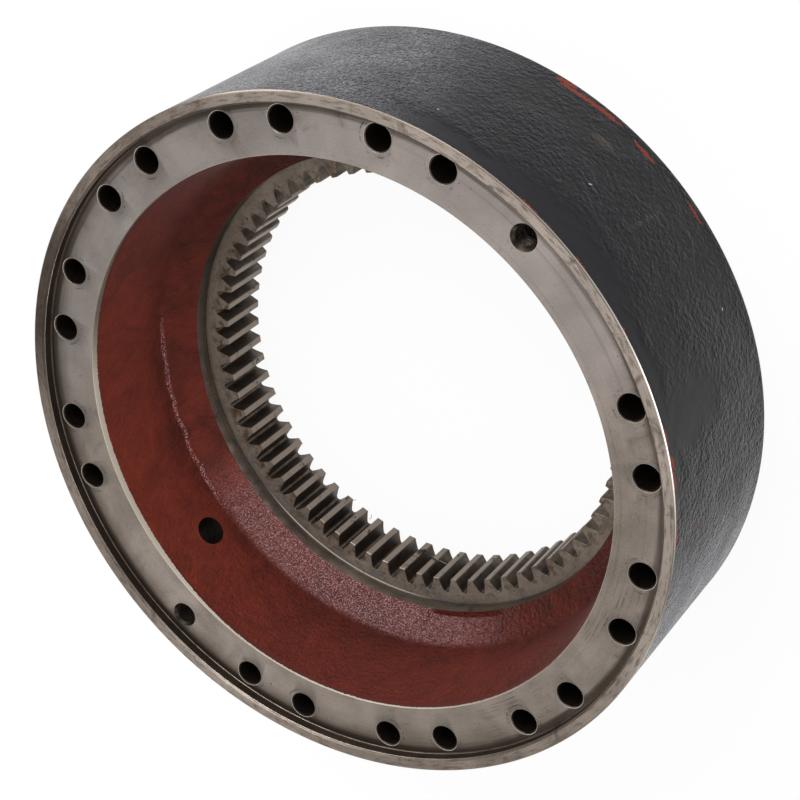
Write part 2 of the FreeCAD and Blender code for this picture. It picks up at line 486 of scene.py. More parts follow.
def sinkPocket():
    p, c = pocket, casting
    only(ring)
    setMode('EDIT')
    bpy.ops.mesh.select_mode(type='FACE')
    bpy.ops.mesh.select_all(action='DESELECT')
    setMode('OBJECT')
    for face in ring.data.polygons:
        face.select = besidePocket(face.center, 4) > -3
    setMode('EDIT')
    bpy.ops.mesh.subdivide(number_cuts=p["cuts"])
    setMode('OBJECT')
    sunk = ring.vertex_groups.new(name="sunk")
    slope = math.radians(c["shoulderSlope"])
    for vertex in ring.data.vertices:
        inside = besidePocket(vertex.co, 4)
        if inside > -0.5:
            # along the register the floor meets the flat strip that stands level with its edge
            strip = (vertex.co.z * 1000 - c["registerTop"]) * math.cos(slope) / p["depth"]
            sunk.add([vertex.index], max(0.0, min(strip, softStep((inside + 0.4) / p["softEdge"]))),
                     'REPLACE')
    bpy.ops.object.modifier_add(type='DISPLACE')
    press = ring.modifiers[-1]
    press.strength = -p["depth"] / 1000
    press.mid_level = 0.0
    press.vertex_group = "sunk"
    bpy.ops.object.modifier_apply(modifier=press.name)
    ring.vertex_groups.clear()


sinkPocket()
print("stage: pocket pressed in")


# Undulation of the sand-cast surfaces: only into the metal, fading out at the machined edges

undulation = {"skin": (0.22, 9.0), "bore": (0.30, 11.0), "fade": 5.0, "skinSpan": (3.0, 139.0)}


def castWeight(place):
    x, y, z = place * 1000
    radius = math.hypot(x, y)
    u, c = undulation, casting
    low, high = u["skinSpan"]
    if radius > skinRadius(z) - 0.2 and low < z < high:
        return "skin", min(1.0, (z - low) / u["fade"], (high - z) / u["fade"])
    top = c["height"] - c["recessDepth"] - c["mouthChamfer"][1]
    onShoulder = (c["registerTop"] < z < creaseHeight() + c["creaseRound"]
                  and c["registerRadius"] + 0.1 < radius < boreRadius(z) + 0.3)
    onWall = creaseHeight() < z < top and abs(radius - boreRadius(z)) < 0.3
    if onShoulder or onWall:
        return "bore", min(1.0, (top - z) / u["fade"], (radius - c["registerRadius"]) / 2)
    return None, 0.0


def roughenCasting():
    only(ring)
    groups = {name: ring.vertex_groups.new(name=name) for name in ("skin", "bore")}
    for vertex in ring.data.vertices:
        name, weight = castWeight(vertex.co)
        if name:
            groups[name].add([vertex.index], max(0.0, weight), 'REPLACE')
    for name in groups:
        depth, size = undulation[name]
        clouds = bpy.data.textures.new(name + "Clouds", 'CLOUDS')
        clouds.noise_scale = size / 1000
        clouds.noise_depth = 2
        bpy.ops.object.modifier_add(type='DISPLACE')
        modifier = ring.modifiers[-1]
        modifier.texture = clouds
        modifier.texture_coords = 'LOCAL'
        modifier.mid_level = 0.0
        modifier.strength = -depth / 1000
        modifier.vertex_group = name
        bpy.ops.object.modifier_apply(modifier=modifier.name)
    ring.vertex_groups.clear()


roughenCasting()
print("stage: cast surfaces roughened")


# Materials. Patterns are drawn in millimetres on Object coordinates.

def linear(hexColour):
    parts = [int(hexColour[k:k + 2], 16) / 255 for k in (1, 3, 5)]
    return tuple(v / 12.92 if v <= 0.04045 else ((v + 0.055) / 1.055) ** 2.4 for v in parts) + (1.0,)


def wire(node, values):
    # each value goes to the socket of its name: a pattern is linked, a constant is set
    for name, value in values.items():
        if isinstance(value, bpy.types.NodeSocket):
            node.id_data.links.new(value, node.inputs[name])
        else:
            node.inputs[name].default_value = value


def addNode(tree, kind, settings):
    # options come first, as they decide which sockets there are; gives the first output in use
    node = tree.nodes.new('ShaderNode' + kind)
    for name, value in settings.items():
        if not isinstance(name, int) and name not in node.inputs:
            setattr(node, name, value)
    wire(node, {name: value for name, value in settings.items()
                if isinstance(name, int) or name in node.inputs})
    return next((output for output in node.outputs if output.enabled), None)


def newFinish(name):
    # in each finish, add is addNode for its own tree
    material = bpy.data.materials.new(name)
    material.use_nodes = True
    tree = material.node_tree
    add = partial(addNode, tree)
    return material, add, tree.nodes["Principled BSDF"], ringPlaces(add)


def chain(add, kind, settings, feed, total, rows):
    # nodes of one kind in a row, each fed by the one before at the socket that feed names
    for row in rows:
        total = add(kind, {**settings, feed: total, **row})
    return total


def noises(add, places, table):
    # patterns by name, each from a cell in mm, detail, roughness and distortion
    return {name: add('TexNoise', {
        "Vector": places["point"], "Scale": 1 / cell, "Detail": detail, "Roughness": roughness,
        "Distortion": distortion})
        for name, (cell, detail, roughness, distortion) in table.items()}


def ringPlaces(add):
    # the point in mm, its direction from the axis, and its radius, height and turn
    place = add('TexCoord', {}).node.outputs["Object"]
    point = add('VectorMath', {"operation": 'SCALE', 0: place, "Scale": 1000.0})
    level = add('VectorMath', {"operation": 'MULTIPLY', 0: point, 1: (1, 1, 0)})
    split = add('SeparateXYZ', {0: point}).node
    return {
        "point": point, "height": split.outputs["Z"],
        "radius": add('VectorMath', {"operation": 'LENGTH', 0: level}),
        "outward": add('VectorMath', {"operation": 'NORMALIZE', 0: level}),
        "turn": add('Math', {"operation": 'ARCTAN2', 0: split.outputs["Y"], 1: split.outputs["X"]}),
    }


def latheMarks(add, places, streak, pitch):
    # pattern space for marks left by turning: long round the ring at the bolt circle, fine across it
    along = add('VectorMath', {
        "operation": 'SCALE', 0: places["outward"], "Scale": holes["boltCircle"] / streak})
    across = add('Math', {"operation": 'ADD', 0: places["radius"], 1: places["height"]})
    across = add('CombineXYZ', {"Z": add('Math', {"operation": 'DIVIDE', 0: across, 1: pitch})})
    return add('VectorMath', {"operation": 'ADD', 0: along, 1: across})


def facingMask(add, places, turn, halfSpan, fade):
    # 1 on the part of the ring round one direction, fading out at both ends
    toward = (math.cos(math.radians(turn)), math.sin(math.radians(turn)), 0)
    facing = add('VectorMath', {"operation": 'DOT_PRODUCT', 0: places["outward"], 1: toward})
    return add('MapRange', {
        "interpolation_type": 'SMOOTHSTEP', "Value": facing,
        "From Min": math.cos(math.radians(halfSpan + fade)),
        "From Max": math.cos(math.radians(halfSpan - fade))})


skinArc = 235.0      # mm of skin for a radian of turn


def wobblySheet(add, places, wobble, cell):
    # the skin unrolled to arc length and height, with its lines made uneven
    sheet = add('CombineXYZ', {
        "X": add('Math', {"operation": 'MULTIPLY', 0: places["turn"], 1: skinArc}), "Y": places["height"]})
    noise = add('TexNoise', {
        "Vector": places["point"], "Scale": 1 / cell, "Detail": 4.0}).node.outputs["Color"]
    shift = add('VectorMath', {"operation": 'SUBTRACT', 0: noise, 1: (0.5, 0.5, 0.5)})
    shift = add('VectorMath', {"operation": 'MULTIPLY', 0: shift, 1: (2 * wobble, 2 * wobble, 0)})
    return add('VectorMath', {"operation": 'ADD', 0: sheet, 1: shift})


def patchMask(add, sheet, patches, soft=0.2):
    # 1 inside any of the patches, each given by its middle, half sizes in mm and turn in degrees
    total = 0.0
    for middleX, middleY, halfX, halfY, turn in patches:
        local = add('Mapping', {
            "vector_type": 'TEXTURE', "Vector": sheet, "Location": (middleX, middleY, 0),
            "Rotation": (0, 0, math.radians(turn)), "Scale": (halfX, halfY, 1)})
        reach = add('VectorMath', {"operation": 'LENGTH', 0: local})
        inside = add('MapRange', {
            "interpolation_type": 'SMOOTHSTEP', "Value": reach, "From Min": 1 + soft, "From Max": 1 - soft})
        total = add('Math', {"operation": 'MAXIMUM', 0: total, 1: inside})
    return total


# Black enamel over the as-cast outside: a thick semi-gloss coat that keeps the orange-peel sand texture,
# smoother where the rim was masked, with oxide-red primer showing where the edges are knocked

enamel = {
    "dark": "#050508", "light": "#0f0e16", "sheen": 0.05, "sheenRoughness": 0.2, "specular": 0.3,
    "ior": 1.3, "sheenTint": "#e6e6f2",
    "noises": {"peel": (3.4, 2.0, 0.45, 0.0), "fine": (1.5, 2.0, 0.5, 0.0), "cloudy": (45, 5.0, 0.5, 0.0)},
    "peelDepth": 1.6, "roughness": (0.18, 0.32), "quietAt": (32, 26, 14), "boldAt": (-24, 18, 8),
    # the dust colour, and the two sides where it is laid on as a painted sheen standing for reflected light
    "dustAndSheen": "#9898a1", "paintedSheenAt": [(94, 12, 26), (-48, 24, 8)], "dustAndSheenShare": 0.5,
    "chipsColour": "#7b3324", "flecksColour": "#b9b5ae", "oilColour": "#2c2520", "streaksColour": "#2b2624",
    # turn and height of each middle, then half sizes in mm and turn
    "calm": [(35, 137, 66, 26, 0), (10, 141, 90, 14, 0), (2, 106, 21, 46, 0), (56, 136, 52, 12, -4)],
    "chips": [(47, 8, 24, 2.2, 3), (36, 10, 10, 1.8, -4), (24, 8, 8, 1.4, -2), (52, 5, 8, 2, 6),
              (40, 142.5, 8, 0.6, 0), (36, 142.6, 5, 0.4, 0), (29, 142.5, 6, 0.6, 0),
              (18, 142.6, 4, 0.5, 0), (1.5, 142.0, 6, 1.2, 0), (-2.5, 141.2, 5, 2.6, 8),
              (-5.5, 141.6, 6, 1.8, 0), (-12, 142.2, 10, 0.8, 0), (-15, 141.8, 5, 1.4, 0),
              (-15, 123, 1.6, 1.0, 20), (-17.5, 104, 2.2, 0.7, 40), (-19, 108, 1.6, 0.9, 30),
              (-21, 117, 1.1, 1.5, 10), (-20, 72, 1.8, 0.6, 35), (-15.5, 106, 1.0, 0.6, 0)],
    "flecks": [(37, 80, 1.3, 0.4, 50), (10, 31, 1.1, 0.5, -30), (-22, 60, 0.8, 0.4, 70),
               (60, 112, 0.7, 0.4, 20)],
    "oil": [(41, 36, 8, 5, 0)],
    "streaks": [(-15, 118, 1.6, 26, 8), (-22, 39, 2.0, 32, 9), (-18, 100, 1.0, 14, 12),
                (28, 60, 1.4, 20, -6)],
}


def onSkin(patches):
    return [(math.radians(turn) * skinArc, height, halfX, halfY, lean)
            for turn, height, halfX, halfY, lean in patches]


def makeEnamel():
    e = enamel
    material, add, shader, places = newFinish("blackEnamel")
    noise = noises(add, places, e["noises"])
    # smooth along part of the rim and in one large patch, where the skin was ground off before painting
    calm = patchMask(add, wobblySheet(add, places, 8.0, 15.0), onSkin(e["calm"]), 0.5)
    rough = add('MapRange', {"Value": calm, "To Min": 1.0, "To Max": 0.06})
    quiet, bold = (facingMask(add, places, *e[at]) for at in ("quietAt", "boldAt"))
    # the coat lies thick and calm in places, thin and grainy in others
    thin = add('MapRange', {
        "Value": noise["cloudy"], "From Min": 0.36, "From Max": 0.64, "To Min": 0.45, "To Max": 1.15})
    relief = add('Math', {"operation": 'MULTIPLY_ADD', 0: noise["fine"], 1: 0.42, 2: noise["peel"]})
    level = chain(add, 'Math', {"operation": 'MULTIPLY_ADD'}, 2, 1.0, [
        {0: quiet, 1: -0.4}, {0: bold, 1: 0.9}])
    relief = chain(add, 'Math', {"operation": 'MULTIPLY'}, 0, relief, [{1: rough}, {1: level}, {1: thin}])
    bump = add('Bump', {"Height": relief, "Strength": 1.0, "Distance": e["peelDepth"] / 1000})
    # fine dust clings to the grain, and on two sides it is laid thicker as a painted sheen that stands for
    # reflected light
    grainy = add('MapRange', {
        "Value": noise["fine"], "From Min": 0.4, "From Max": 0.66, "To Max": e["dustAndSheenShare"]})
    patchy = add('MapRange', {
        "Value": noise["cloudy"], "From Min": 0.36, "From Max": 0.6, "To Min": 1.0, "To Max": 0.55})
    marks = [(noise["cloudy"], e["light"])]
    dustAndSheenSpots = add('Math', {"operation": 'MULTIPLY', 0: grainy, 1: patchy})
    marks += [(add('Math', {"operation": 'MULTIPLY', 0: dustAndSheenSpots, 1: facingMask(add, places, *at)}), e["dustAndSheen"])
              for at in e["paintedSheenAt"]]
    sheet, steady = wobblySheet(add, places, 3.2, 1.5), wobblySheet(add, places, 0.5, 2.5)
    masks = {name: patchMask(add, steady if name == "flecks" else sheet, onSkin(e[name]), soft)
             for name, soft in (("streaks", 0.8), ("oil", 0.3), ("chips", 0.1), ("flecks", 0.2))}
    masks["streaks"] = add('Math', {"operation": 'MULTIPLY', 0: masks["streaks"], 1: 0.6})
    marks += [(masks[name], e[name + "Colour"]) for name in masks]
    low, high = e["roughness"]
    gloss = add('MapRange', {"Value": noise["cloudy"], "To Min": low, "To Max": high})
    colour = chain(add, 'Mix', {"data_type": 'RGBA'}, 6, linear(e["dark"]), [
        {0: mask, 7: linear(paint)} for mask, paint in marks])
    gloss = add('Math', {"operation": 'MULTIPLY_ADD', 0: masks["chips"], 1: 0.35, 2: gloss})
    wire(shader, {
        "Base Color": colour, "Roughness": gloss, "Normal": bump, "Specular IOR Level": e["specular"],
        "IOR": e["ior"], "Sheen Weight": e["sheen"], "Sheen Roughness": e["sheenRoughness"],
        "Sheen Tint": linear(e["sheenTint"])})
    return material


# Turned grey iron: faced on a lathe, so fine rings run round it and catch the light in long streaks;
# handling and coolant leave soft brown clouds and darker rims round the holes

turned = {
    "streak": 42.0, "pitch": 1.5, "ringStep": 7.0,
    "noises": {"clouds": (34, 5.0, 0.55, 0.4), "grain": (0.8, 1.0, 0.7, 0.0)},
    "flange": {"clean": "#8c837c", "worn": "#675e56", "stain": "#53483f", "roughness": (0.36, 0.5),
               "relief": 0.010, "metal": 1.0, "lathe": 0.22},
    "lip": {"clean": "#857a71", "worn": "#695f56", "stain": "#4b4038", "roughness": (0.36, 0.54),
            "relief": 0.02, "metal": 1.0, "lathe": 0.5},
    "lipWall": {"clean": "#5c5148", "worn": "#3f362f", "stain": "#2a231d", "roughness": (0.42, 0.6),
                "relief": 0.03, "metal": 1.0, "lathe": 0.7},
    "mouthEdge": {"clean": "#a3998b", "worn": "#887d6f", "stain": "#6e6355", "roughness": (0.42, 0.56),
                  "relief": 0.01, "metal": 0.5, "lathe": 0.3},
    "gearFace": {"clean": "#92877c", "worn": "#74685c", "stain": "#54473a", "roughness": (0.4, 0.58),
                 "relief": 0.02, "metal": 0.55, "lathe": 0.4},
    "register": {"clean": "#958b82", "worn": "#5e554d", "stain": "#2a231e", "roughness": (0.32, 0.48),
                 "relief": 0.02, "metal": 0.9, "lathe": 0.6},
    "backFace": {"clean": "#857e78", "worn": "#706963", "stain": "#544b44", "roughness": (0.38, 0.54),
                 "relief": 0.02, "metal": 1.0, "lathe": 0.4},
    "holeEdge": {"clean": "#bab2a8", "worn": "#978f85", "roughness": (0.3, 0.4),
                 "relief": 0.01, "metal": 1.0, "lathe": 0.2},
    # painted highlight: the rim's chamfer is coloured nearly white
    "rimEdge": {"clean": "#f2ece5", "worn": "#d8d0c7", "roughness": (0.24, 0.34),
                "relief": 0.02, "metal": 1.0, "lathe": 0.6},
}


def turnedBase(add, places, look):
    # colour, roughness and relief of turned iron: ring marks, clouds and grain
    t = turned
    marks = add('TexNoise', {
        "Vector": latheMarks(add, places, t["streak"], t["pitch"]), "Scale": 1.0, "Detail": 3.0,
        "Roughness": 0.6})
    bands = add('TexNoise', {
        "Vector": latheMarks(add, places, 400.0, t["ringStep"]), "Scale": 1.0, "Detail": 2.0})
    noise = noises(add, places, t["noises"])
    weight = look["lathe"]
    blend = chain(add, 'Math', {"operation": 'MULTIPLY_ADD'}, 2, noise["clouds"], [
        {0: marks, 1: weight}, {0: bands, 1: weight * 0.6}, {0: noise["grain"], 1: 0.75}])
    # each noise swings about a half, so their weighted sum is centred before it is stretched
    middle = 0.5 * (1.75 + 1.6 * weight)
    blend = add('MapRange', {"Value": blend, "From Min": middle - 0.3, "From Max": middle + 0.3})
    low, high = look["roughness"]
    gloss = add('MapRange', {"Value": blend, "To Min": low, "To Max": high})
    bump = add('Bump', {"Height": marks, "Strength": 1.0, "Distance": look["relief"] / 1000})
    colour = add('Mix', {
        "data_type": 'RGBA', 0: blend, 6: linear(look["clean"]), 7: linear(look["worn"])})
    return colour, gloss, bump


def stainNoise(add, places, cell, low, high):
    noise = add('TexNoise', {
        "Vector": places["point"], "Scale": 1 / cell, "Detail": 6.0, "Roughness": 0.62, "Distortion": 0.6})
    return add('MapRange', {
        "interpolation_type": 'SMOOTHSTEP', "Value": noise, "From Min": low, "From Max": high})


def makeTurned(name, marks=(), painted=None):
    # marks: functions that each give a mask and a colour, laid over the turned base in order;
    # painted gives the mask of the part that is under red primer
    look = turned[name]
    material, add, shader, places = newFinish(name + "Iron")
    colour, gloss, normal = turnedBase(add, places, look)
    marks = [mark(add, places) for mark in marks]
    colour = chain(add, 'Mix', {"data_type": 'RGBA'}, 6, colour, [
        {0: mask, 7: linear(paint)} for mask, paint in marks])
    gloss = chain(add, 'Math', {"operation": 'MULTIPLY_ADD'}, 2, gloss, [
        {0: mask, 1: 0.08} for mask, paint in marks])
    metal = look["metal"]
    if painted:
        mask = painted(add, places)
        colour = add('Mix', {"data_type": 'RGBA', 0: mask, 6: colour, 7: linear(primer["deepRedAndShade"])})
        metal = add('MapRange', {"Value": mask, "To Min": look["metal"], "To Max": 0.0})
        gloss = add('Math', {"operation": 'MULTIPLY_ADD', 0: mask, 1: 0.4, 2: gloss, "use_clamp": True})
    wire(shader, {"Base Color": colour, "Roughness": gloss, "Normal": normal, "Metallic": metal})
    return material


def layer(paint, share=1.0, turn=None, stain=None, streaks=None, radius=None):
    # a mark on turned iron: one colour, by the product of what is given: a direction round the ring,
    # stains, streaks along the turning (length and pitch in mm, detail, roughness, low, high) and a span
    # of radii
    def mark(add, places):
        parts = []
        if turn:
            parts.append(facingMask(add, places, *turn))
        if stain:
            parts.append(stainNoise(add, places, *stain))
        if streaks:
            streak, pitch, detail, roughness, low, high = streaks
            noise = add('TexNoise', {
                "Vector": latheMarks(add, places, streak, pitch), "Scale": 1.0, "Detail": detail,
                "Roughness": roughness})
            parts.append(add('MapRange', {
                "interpolation_type": 'SMOOTHSTEP', "Value": noise, "From Min": low, "From Max": high}))
        if radius:
            blend, start, full = radius
            parts.append(add('MapRange', {
                "interpolation_type": blend, "Value": places["radius"], "From Min": start,
                "From Max": full}))
        rows = [{1: part} for part in (*parts[1:], share)]
        return chain(add, 'Math', {"operation": 'MULTIPLY'}, 0, parts[0], rows), paint
    return mark


def mouthPaint(add, places):
    # the primer was brushed up over the mouth's chamfer, least where the cast bore lies furthest in
    ragged = add('TexNoise', {"Vector": places["point"], "Scale": 1 / 1.4, "Detail": 3.0})
    flange = casting["height"] - casting["recessDepth"]
    bare = facingMask(add, places, 178, 27, 26)
    below = chain(add, 'Math', {"operation": 'MULTIPLY_ADD'}, 2, flange - 1.7, [
        {0: places["height"], 1: -1.0}, {0: ragged, 1: 1.6}, {0: bare, 1: -2.7}])
    return add('MapRange', {"Value": below, "From Min": -0.1, "From Max": 0.1})


def flangeCornerShade(add, places):
    # painted shade: a dark ring in the corner under the lip, where the lip's shadow and its dark reflection
    # fall, drawn out along the turning
    ragged = add('TexNoise', {
        "Vector": latheMarks(add, places, 70.0, 2.2), "Scale": 1.0, "Detail": 3.0, "Roughness": 0.5})
    edge = add('Math', {"operation": 'MULTIPLY_ADD', 0: ragged, 1: 7.0, 2: places["radius"]})
    return add('MapRange', {
        "interpolation_type": 'SMOOTHSTEP', "Value": edge, "From Min": 222.5, "From Max": 228.0,
        "To Max": 0.9}), "#383029"


def holeRings(add, places):
    # a ragged ring round each bolt hole, printed by the edge of a washer: the holes lie in pairs,
    # so the turn is folded to one side of a pair's middle and measured from the hole there
    h = holes
    folded = add('Math', {"operation": 'PINGPONG', 0: places["turn"], 1: math.radians(h["sector"] / 2)})
    along = add('Math', {
        "operation": 'MULTIPLY_ADD', 0: folded, 1: h["boltCircle"],
        2: -math.radians(h["pairHalf"]) * h["boltCircle"]})
    across = add('Math', {"operation": 'MULTIPLY_ADD', 0: places["radius"], 1: 1.0, 2: -h["boltCircle"]})
    away = add('VectorMath', {"operation": 'LENGTH', 0: add('CombineXYZ', {"X": along, "Y": across})})
    ragged = add('TexNoise', {"Vector": places["point"], "Scale": 1 / 1.6, "Detail": 3.0})
    off = chain(add, 'Math', {"operation": 'MULTIPLY_ADD'}, 2, -13.4, [
        {0: away, 1: 1.0}, {0: ragged, 1: 2.4}])
    off = add('Math', {"operation": 'ABSOLUTE', 0: off})
    ring = add('MapRange', {"Value": off, "From Min": 0.7, "From Max": 0.2, "To Max": 0.7})
    mask = add('Math', {"operation": 'MULTIPLY', 0: ring, 1: stainNoise(add, places, 9, 0.5, 0.62)})
    for sector in h["bareSectors"]:
        there = facingMask(add, places, sector * h["sector"], 14, 1)
        elsewhere = add('Math', {"operation": 'MULTIPLY_ADD', 0: there, 1: -1.0, 2: 1.0})
        mask = add('Math', {"operation": 'MULTIPLY', 0: mask, 1: elsewhere})
    return mask, "#4a4138"


# Red oxide primer, brushed by hand over the as-cast bore: matte, with slanting strokes,
# thicker and glossier with coarse grit on the lower shoulder

primer = {
    "red": "#642419", "paintedLightOrange": "#7d2f1f", "dark": "#35120c", "deepRedAndShade": "#4a120a", "fleck": "#c9979a",
    "specular": 0.16,
    "noises": {"smudge": (22, 6.0, 0.6, 0.8), "grit": (1.8, 3.0, 0.6, 0.0), "felt": (0.9, 2.0, 0.5, 0.0),
               "sparkle": (0.95, 3.0, 0.65, 0.0), "pebbles": (3.6, 2.0, 0.5, 0.0)},
    "strokeLength": 8.0, "strokeWidth": 1.2, "strokeSlant": 38.0, "strokeDepth": 0.3, "gritDepth": 1.6,
    "coat": 0.9, "coatRoughness": 0.08, "boreRadius": 185.0,
    # direction, half span and fade in degrees
    "sides": {"paintedLightOrange": (-175, 36, 18), "gritAndGlint": (-120, 24, 24), "creaseGlint": (-178, 21, 6),
              "leather": (-122, 40, 24), "lumpy": (-80, 60, 30), "shadow": (28, 84, 24),
              "flip": (178, 48, 22)},
}


def makePrimer():
    p = primer
    material, add, shader, places = newFinish("redPrimer")
    noise = noises(add, places, p["noises"])
    side = {name: facingMask(add, places, *at) for name, at in p["sides"].items()}
    crease = creaseHeight()
    # distance from a wavy line a little above the crease, along which a painted highlight runs
    offCrease = chain(add, 'Math', {"operation": 'MULTIPLY_ADD'}, 2, -crease - 5.0, [
        {0: places["height"], 1: 1.0}, {0: noise["smudge"], 1: 7.0}])
    offCrease = add('Math', {"operation": 'ABSOLUTE', 0: offCrease})
    spans = {"low": (places["height"], crease + 5, crease - 4),
             "creaseShade": (places["height"], crease + 30, crease + 2),
             "foot": (places["radius"], 170.8, 169.2), "creaseGlint": (offCrease, 2.3, 0.6),
             "fleck": (noise["sparkle"], 0.5, 0.62)}
    soft = {name: add('MapRange', {
        "interpolation_type": 'SMOOTHSTEP', "Value": value, "From Min": start, "From Max": full})
        for name, (value, start, full) in spans.items()}
    # strokes follow a helix: the direction from the axis is turned with height, then stretched;
    # on one side the brush came from the other hand, so they slant the other way
    hand = add('Math', {"operation": 'MULTIPLY_ADD', 0: side["flip"], 1: -2.0, 2: 1.0})
    slant = math.tan(math.radians(p["strokeSlant"])) / p["boreRadius"]
    lean = chain(add, 'Math', {"operation": 'MULTIPLY'}, 0, places["height"], [{1: slant}, {1: hand}])
    helix = add('VectorRotate', {"rotation_type": 'Z_AXIS', "Vector": places["outward"], "Angle": lean})
    helix = add('VectorMath', {"operation": 'SCALE', 0: helix, "Scale": p["boreRadius"] / p["strokeWidth"]})
    tall = add('CombineXYZ', {
        "Z": add('Math', {"operation": 'MULTIPLY', 0: places["height"], 1: 1 / p["strokeLength"]})})
    strokes = add('VectorMath', {"operation": 'ADD', 0: helix, 1: tall})
    strokes = add('TexNoise', {"Vector": strokes, "Scale": 1.0, "Detail": 3.0, "Roughness": 0.55})
    low = soft["low"]
    gritAndGlint = add('Math', {"operation": 'MULTIPLY', 0: side["gritAndGlint"], 1: low})
    # painted shade: darker in the corner above the shoulder
    creaseShade = add('Math', {"operation": 'SUBTRACT', 0: soft["creaseShade"], 1: low, "use_clamp": True})
    # in the tone below, the glinting side of the shoulder is made lighter, a painted highlight
    shade = chain(add, 'Math', {"operation": 'MULTIPLY_ADD'}, 2, noise["smudge"], [
        {0: strokes, 1: 0.5}, {0: creaseShade, 1: 0.22}, {0: noise["felt"], 1: 0.55}, {0: low, 1: 0.2},
        {0: gritAndGlint, 1: -0.16}, {0: side["shadow"], 1: 0.3}])
    shade = add('MapRange', {"Value": shade, "From Min": 0.78, "From Max": 1.55})
    # painted shade: the flat strip at the pocket's foot is kept dark
    overPocket = facingMask(add, places, pocket["turn"], pocket["span"] / 2 - 1.5, 1.0)
    stripShade = add('Math', {"operation": 'MULTIPLY', 0: soft["foot"], 1: overPocket})
    gritAndGlint = add('Math', {"operation": 'SUBTRACT', 0: gritAndGlint, 1: stripShade, "use_clamp": True})
    # pale flecks, painted highlights that stand for glints, on the coarse shoulder and along a line in the
    # crease
    creaseGlint = add('Math', {"operation": 'MULTIPLY', 0: soft["creaseGlint"], 1: side["creaseGlint"]})
    glintSpots = add('Math', {"operation": 'MULTIPLY_ADD', 0: gritAndGlint, 1: 0.74, 2: creaseGlint})
    fleck = add('Math', {"operation": 'MULTIPLY', 0: soft["fleck"], 1: glintSpots, "use_clamp": True})
    # painted light: lighter and more orange on the side where the light falls
    paintedLightTint = add('Math', {"operation": 'MULTIPLY_ADD', 0: side["paintedLightOrange"], 1: 0.8, 2: 0.1})
    marks = [(paintedLightTint, "paintedLightOrange"), (shade, "dark"), (stripShade, "deepRedAndShade"), (fleck, "fleck")]
    colour = chain(add, 'Mix', {"data_type": 'RGBA'}, 6, linear(p["red"]), [
        {0: mask, 7: linear(p[paint])} for mask, paint in marks])
    gloss = add('MapRange', {"Value": gritAndGlint, "To Min": 0.52, "To Max": 0.38})
    lumpy = add('Math', {"operation": 'MULTIPLY', 0: side["lumpy"], 1: low})
    varnish = add('Math', {"operation": 'MULTIPLY_ADD', 0: lumpy, 1: 0.12, 2: gritAndGlint})
    varnish = add('Math', {"operation": 'MULTIPLY', 0: varnish, 1: p["coat"], "use_clamp": True})
    leather = add('Math', {"operation": 'MULTIPLY_ADD', 0: side["leather"], 1: 0.3, 2: 0.18})
    gritDepth = add('Math', {"operation": 'MAXIMUM', 0: gritAndGlint, 1: leather})
    relief = add('Math', {"operation": 'MULTIPLY', 0: noise["grit"], 1: gritDepth})
    lumps = add('Math', {"operation": 'MULTIPLY_ADD', 0: side["lumpy"], 1: 0.7, 2: 0.5})
    relief = chain(add, 'Math', {"operation": 'MULTIPLY_ADD'}, 2, relief, [
        {0: noise["pebbles"], 1: lumps}, {0: strokes, 1: p["strokeDepth"] / p["gritDepth"]}])
    bump = add('Bump', {"Height": relief, "Strength": 1.0, "Distance": p["gritDepth"] / 1000})
    gloss = add('Math', {"operation": 'MULTIPLY_ADD', 0: side["lumpy"], 1: -0.08, 2: gloss})
    wire(shader, {
        "Base Color": colour, "Roughness": gloss, "Normal": bump, "Specular IOR Level": p["specular"],
        "Coat Weight": varnish, "Coat Roughness": p["coatRoughness"], "Coat Normal": bump})
    return material


# Cut iron, darkened by oil. The teeth were shaped along the axis, so fine lines run the length of each
# tooth, and their tips are rubbed bright. The walls of the holes have faint drill rings, and the crests
# of the threads are bright.

cutIron = {
    "cutTeeth": {"clean": "#81766c", "oiled": "#423931", "cell": (0.9, 0.9, 60.0), "detail": 3.0,
                 "share": 0.5, "cloud": (9, 5.0), "span": (0.5, 1.0, 0.35), "roughness": (0.42, 0.56),
                 "relief": 0.015, "tips": (148.9, 148.2), "stain": "#2d2218"},
    "drilled": {"clean": "#5b5149", "oiled": "#2c2621", "cell": (25, 25, 0.8), "detail": 2.0,
                "share": 0.4, "cloud": (6, 4.0), "span": (0.45, 0.9, 0.0), "roughness": (0.4, 0.6),
                "relief": 0.03},
}
cutIron["thread"] = {**cutIron["drilled"], "clean": "#bcb3a9", "oiled": "#857b71", "roughness": (0.2, 0.3),
                     "relief": 0.01}
cutIron["threadOil"] = {**cutIron["drilled"], "clean": "#463f38", "oiled": "#1c1815",
                        "roughness": (0.3, 0.5), "relief": 0.01}


